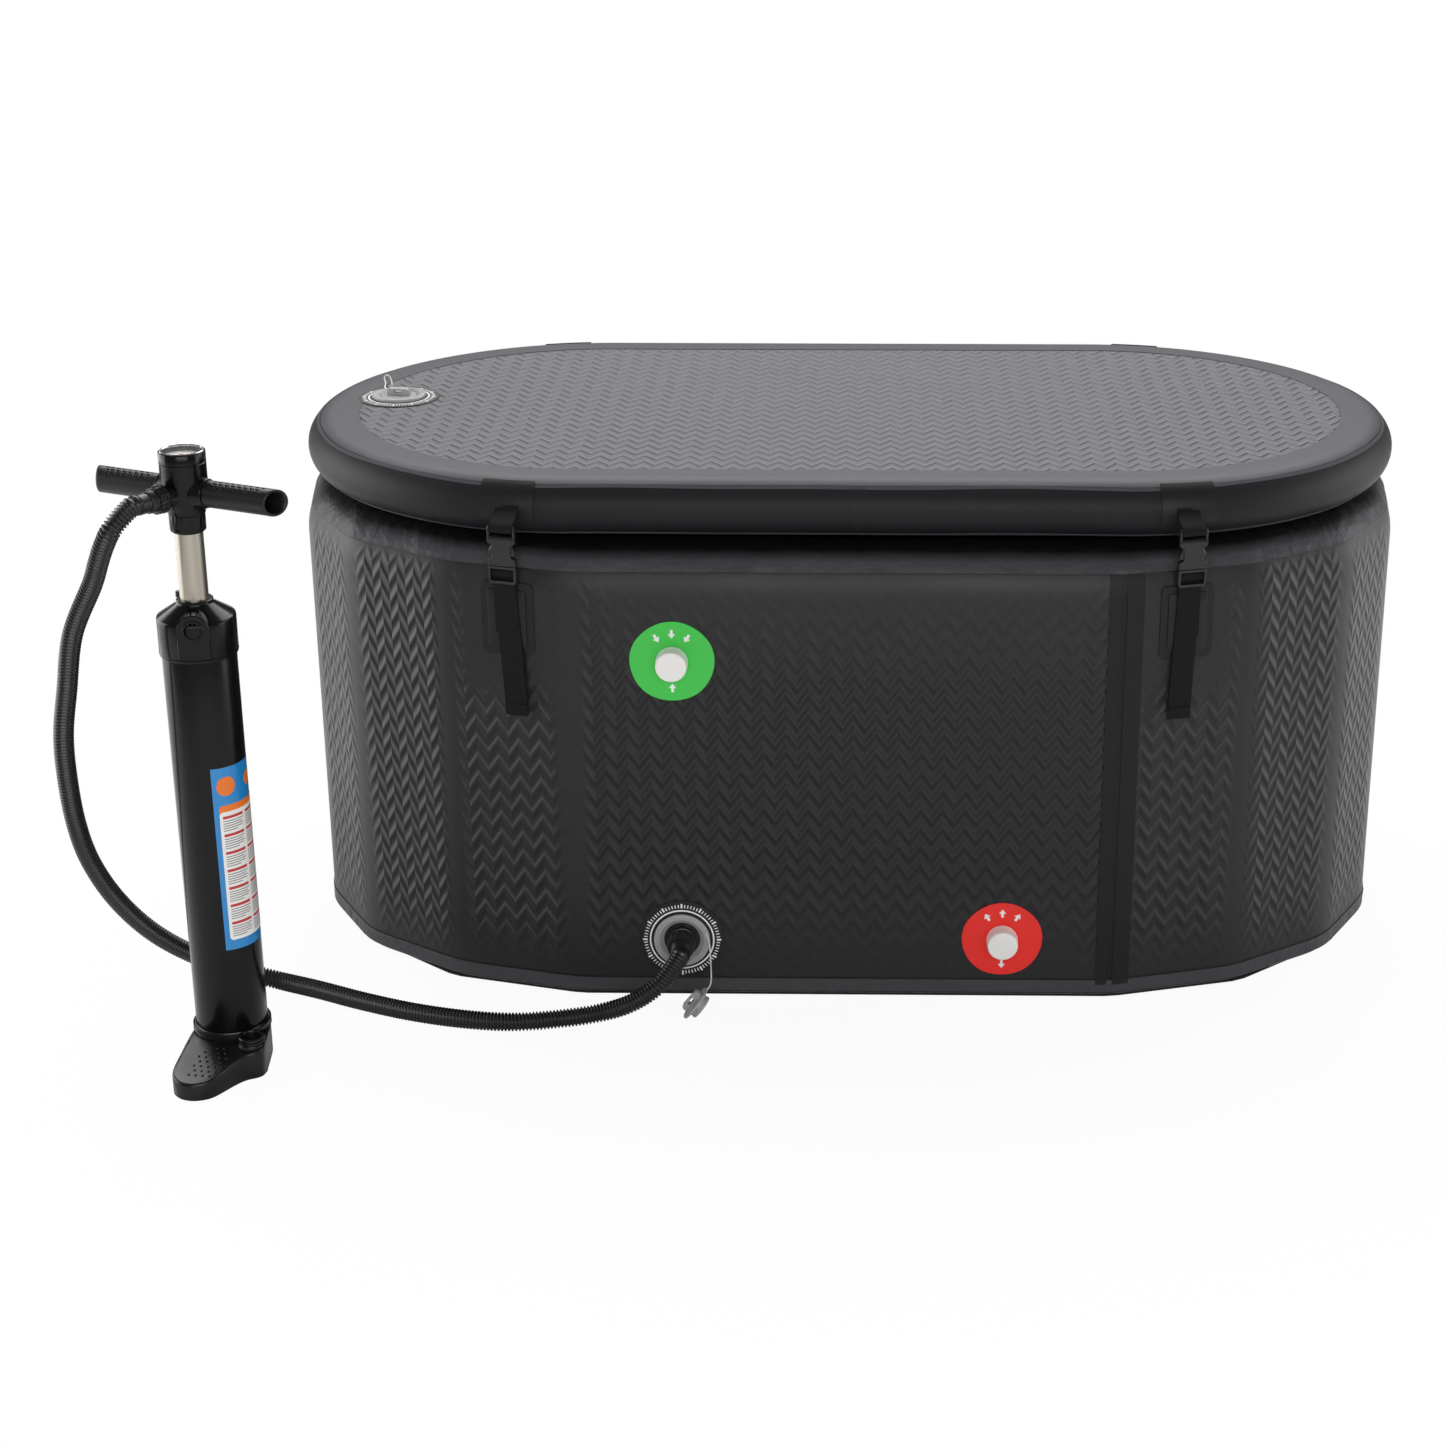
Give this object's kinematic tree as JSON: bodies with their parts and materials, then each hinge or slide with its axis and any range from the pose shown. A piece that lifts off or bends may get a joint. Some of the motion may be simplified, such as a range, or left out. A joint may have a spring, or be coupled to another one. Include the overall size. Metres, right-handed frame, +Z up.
{
  "type": "inflatable bathtub with lid and hand pump",
  "caption": "Oval inflatable bathtub with a buckled inflatable lid, air valves and water fittings, and a hand pump plugged in by a ribbed hose.",
  "frame": {"origin": "middle of the tub's underside, on the floor", "axes": "+Z up, X along the tub's length, -Y towards the front with the valves and water fittings; the pump stands at -X"},
  "size_m": [1.5995, 1.0726, 0.741],
  "materials": {
    "coated_fabric": "matt charcoal PVC-coated polyester, drop-stitch",
    "lid_fabric": "matt grey PVC-coated polyester, drop-stitch",
    "smooth_pvc": "smooth satin PVC",
    "base_pvc": "textured PVC sheet",
    "webbing": "woven polyester",
    "buckle_plastic": "satin black acetal",
    "valve_patch": "smooth black PVC",
    "green_patch": "smooth green PVC",
    "red_patch": "smooth red PVC",
    "white_nylon": "satin white nylon",
    "valve_plastic": "satin grey nylon",
    "spring_steel": "bright",
    "tether": "thin soft cord",
    "pump_shell": "glossy black ABS",
    "pump_satin": "satin black nylon",
    "rod_aluminium": "anodised silver",
    "rubber": "matt",
    "dial": "printed face",
    "needle": "red paint",
    "lens": "clear",
    "hose": "satin black, ribbed"
  },
  "bodies": {
    "tub": {"wall_ring": "coated_fabric", "floor_panel": "coated_fabric", "base_tape": "smooth_pvc", "rim_tape": "smooth_pvc", "base_sheet": "base_pvc", "front_right_wall_strap": "webbing", "front_left_wall_strap": "webbing", "back_right_wall_strap": "webbing", "back_left_wall_strap": "webbing", "front_right_buckle_plug": "buckle_plastic", "front_left_buckle_plug": "buckle_plastic", "back_right_buckle_plug": "buckle_plastic", "back_left_buckle_plug": "buckle_plastic", "air_valve_patch": "valve_patch", "water_in_patch": "green_patch", "water_out_patch": "red_patch", "water_in_fitting": "white_nylon", "water_in_nut": "white_nylon", "water_out_fitting": "white_nylon", "water_out_nut": "white_nylon", "air_valve_body": "valve_plastic", "air_valve_cap": "valve_plastic", "air_valve_spring": "spring_steel", "air_valve_tether": "tether", "pump_foot": "pump_shell", "pump_barrel": "pump_shell", "pump_cap": "pump_shell", "pump_hose": "hose"},
    "lid": {"lid_panel": "lid_fabric", "lid_side_band": "smooth_pvc", "lid_valve_patch": "valve_patch", "lid_valve_body": "valve_plastic", "lid_valve_spring": "spring_steel", "lid_valve_tether": "tether", "front_right_lid_strap": "webbing", "front_right_buckle_socket": "buckle_plastic", "front_left_lid_strap": "webbing", "front_left_buckle_socket": "buckle_plastic", "back_right_lid_strap": "webbing", "back_right_buckle_socket": "buckle_plastic", "back_left_lid_strap": "webbing", "back_left_buckle_socket": "buckle_plastic"},
    "lid_valve_stem": {"lid_valve_stem": "valve_plastic"},
    "lid_valve_cap": {"lid_valve_cap": "valve_plastic"},
    "air_valve_stem": {"air_valve_stem": "valve_plastic"},
    "nozzle": {"hose_nozzle": "pump_satin"},
    "water_in_cap": {"water_in_cap": "white_nylon"},
    "water_out_cap": {"water_out_cap": "white_nylon"},
    "pump_handle": {"pump_rod": "rod_aluminium", "pump_piston": "pump_satin", "piston_seal": "rubber", "rod_collar": "pump_shell", "pump_head": "pump_shell", "left_grip": "pump_satin", "right_grip": "pump_satin", "gauge_dial": "dial", "gauge_lens": "lens", "hose_nut": "pump_satin"},
    "gauge_needle": {"gauge_needle": "needle"},
    "mode_plug": {"mode_plug": "pump_satin"}
  },
  "joints": [
    {"name": "lid_lift", "type": "slide", "parent": "tub", "child": "lid", "axis": [0, 0, 1], "range_m": [0, 0.45], "deforming": ["front_right_buckle_plug", "front_left_buckle_plug", "back_right_buckle_plug", "back_left_buckle_plug"]},
    {"name": "lid_valve_press", "type": "slide", "parent": "lid", "child": "lid_valve_stem", "axis": [0, 0, -1], "range_m": [0, 0.005], "stiffness_N_per_m": 250, "springref_m": -0.003, "deforming": ["lid_valve_spring"]},
    {"name": "lid_valve_cap_lift", "type": "slide", "parent": "lid", "child": "lid_valve_cap", "axis": [0, 0, 1], "range_m": [0, 0.04], "deforming": ["lid_valve_tether"]},
    {"name": "air_valve_press", "type": "slide", "parent": "tub", "child": "air_valve_stem", "axis": [0, 1, 0], "range_m": [0, 0.005], "stiffness_N_per_m": 250, "springref_m": -0.003, "deforming": ["air_valve_spring"]},
    {"name": "nozzle_twist", "type": "hinge", "parent": "tub", "child": "nozzle", "pos_m": [-0.201, -0.4, 0.077], "axis": [0, -1, 0], "range_deg": [-60, 0]},
    {"name": "water_in_cap_off", "type": "slide", "parent": "tub", "child": "water_in_cap", "axis": [0, -1, 0], "range_m": [0, 0.03]},
    {"name": "water_out_cap_off", "type": "slide", "parent": "tub", "child": "water_out_cap", "axis": [0, -1, 0], "range_m": [0, 0.03]},
    {"name": "pump_stroke", "type": "slide", "parent": "tub", "child": "pump_handle", "axis": [0, 0, 1], "range_m": [-0.077, 0.35], "deforming": ["pump_hose"]},
    {"name": "gauge_needle_turn", "type": "hinge", "parent": "pump_handle", "child": "gauge_needle", "pos_m": [-0.725, -0.555, 0.7355], "axis": [0, 0, -1], "range_deg": [0, 270], "stiffness_Nm_per_rad": 0.0001},
    {"name": "mode_plug_pull", "type": "slide", "parent": "tub", "child": "mode_plug", "axis": [0, 0, 1], "range_m": [0, 0.012]}
  ]
}
